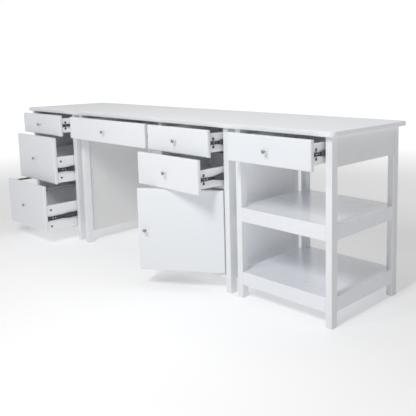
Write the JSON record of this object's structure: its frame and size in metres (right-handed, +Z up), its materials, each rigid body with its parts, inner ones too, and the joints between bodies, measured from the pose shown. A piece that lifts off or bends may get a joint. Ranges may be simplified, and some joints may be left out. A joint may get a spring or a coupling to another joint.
{
  "type": "sewing table",
  "caption": "Long white sewing table: one top over a drawer pedestal, a kneehole with a wide drawer, a cabinet with drawers and a hinged door, and an open shelf unit.",
  "frame": {"origin": "on the floor, at the middle of the footprint of the table as drawn, with its drawers and door partly open", "axes": "+X along the length to the shelf-unit end, +Y to the back, +Z up; drawers and door face -Y"},
  "size_m": [2.352, 0.742, 0.762],
  "materials": {
    "top_paint": "satin white paint, smooth",
    "leg_paint": "satin white paint",
    "panel_paint": "satin white paint",
    "front_paint": "satin white paint, eased edges",
    "box_paint": "matt white lining",
    "satin_nickel": "satin nickel plate",
    "slide_steel": "black passivated steel"
  },
  "bodies": {
    "carcass": {"tabletop": "top_paint", "pedestal_leg_front_left": "leg_paint", "pedestal_leg_front_right": "leg_paint", "pedestal_leg_back_left": "leg_paint", "pedestal_leg_back_right": "leg_paint", "desk_leg_front_left": "leg_paint", "desk_leg_front_right": "leg_paint", "desk_leg_back_left": "leg_paint", "desk_leg_back_right": "leg_paint", "shelf_unit_leg_front_left": "leg_paint", "shelf_unit_leg_front_right": "leg_paint", "shelf_unit_leg_back_left": "leg_paint", "shelf_unit_leg_back_right": "leg_paint", "pedestal_left_panel": "panel_paint", "pedestal_right_panel": "panel_paint", "desk_left_panel": "panel_paint", "desk_right_panel": "panel_paint", "shelf_unit_left_apron": "panel_paint", "shelf_unit_right_apron": "panel_paint", "partition": "panel_paint", "pedestal_back_panel": "panel_paint", "cabinet_back_panel": "panel_paint", "kneehole_back_panel": "panel_paint", "shelf_unit_back_apron": "panel_paint", "pedestal_bottom_panel": "panel_paint", "cabinet_bottom_panel": "panel_paint", "cabinet_divider": "panel_paint", "middle_shelf": "panel_paint", "bottom_shelf": "panel_paint", "pedestal_top_slide": "slide_steel", "pedestal_middle_slide": "slide_steel", "pedestal_bottom_slide": "slide_steel", "cabinet_top_slide": "slide_steel", "cabinet_lower_slide": "slide_steel", "shelf_slide": "slide_steel", "hinge_arm_upper": "satin_nickel", "hinge_arm_lower": "satin_nickel"},
    "pedestal_top_drawer": {"pedestal_top_drawer_front": "front_paint", "pedestal_top_drawer_box": "box_paint", "pedestal_top_drawer_knob": "satin_nickel"},
    "pedestal_middle_drawer": {"pedestal_middle_drawer_front": "front_paint", "pedestal_middle_drawer_box": "box_paint", "pedestal_middle_drawer_knob": "satin_nickel"},
    "pedestal_bottom_drawer": {"pedestal_bottom_drawer_front": "front_paint", "pedestal_bottom_drawer_box": "box_paint", "pedestal_bottom_drawer_knob": "satin_nickel"},
    "pencil_drawer": {"pencil_drawer_front": "front_paint", "pencil_drawer_box": "box_paint", "pencil_drawer_knob": "satin_nickel"},
    "cabinet_top_drawer": {"cabinet_top_drawer_front": "front_paint", "cabinet_top_drawer_box": "box_paint", "cabinet_top_drawer_knob": "satin_nickel"},
    "cabinet_lower_drawer": {"cabinet_lower_drawer_front": "front_paint", "cabinet_lower_drawer_box": "box_paint", "cabinet_lower_drawer_knob": "satin_nickel"},
    "shelf_drawer": {"shelf_drawer_front": "front_paint", "shelf_drawer_box": "box_paint", "shelf_drawer_knob": "satin_nickel"},
    "door": {"door": "front_paint", "door_knob": "satin_nickel"}
  },
  "joints": [
    {"name": "pedestal_top_drawer_slide", "type": "slide", "parent": "carcass", "child": "pedestal_top_drawer", "axis": [0, -1, 0], "range_m": [-0.076, 0.254]},
    {"name": "pedestal_middle_drawer_slide", "type": "slide", "parent": "carcass", "child": "pedestal_middle_drawer", "axis": [0, -1, 0], "range_m": [-0.121, 0.209]},
    {"name": "pedestal_bottom_drawer_slide", "type": "slide", "parent": "carcass", "child": "pedestal_bottom_drawer", "axis": [0, -1, 0], "range_m": [-0.199, 0.131]},
    {"name": "pencil_drawer_slide", "type": "slide", "parent": "carcass", "child": "pencil_drawer", "axis": [0, -1, 0], "range_m": [-0.08, 0.25]},
    {"name": "cabinet_top_drawer_slide", "type": "slide", "parent": "carcass", "child": "cabinet_top_drawer", "axis": [0, -1, 0], "range_m": [-0.086, 0.244]},
    {"name": "cabinet_lower_drawer_slide", "type": "slide", "parent": "carcass", "child": "cabinet_lower_drawer", "axis": [0, -1, 0], "range_m": [-0.146, 0.184]},
    {"name": "shelf_drawer_slide", "type": "slide", "parent": "carcass", "child": "shelf_drawer", "axis": [0, -1, 0], "range_m": [-0.08, 0.25]},
    {"name": "door_hinge", "type": "hinge", "parent": "carcass", "child": "door", "pos_m": [0.577, -0.15, 0.272], "axis": [0, 0, 1], "range_deg": [-31.4, 78.6]}
  ]
}
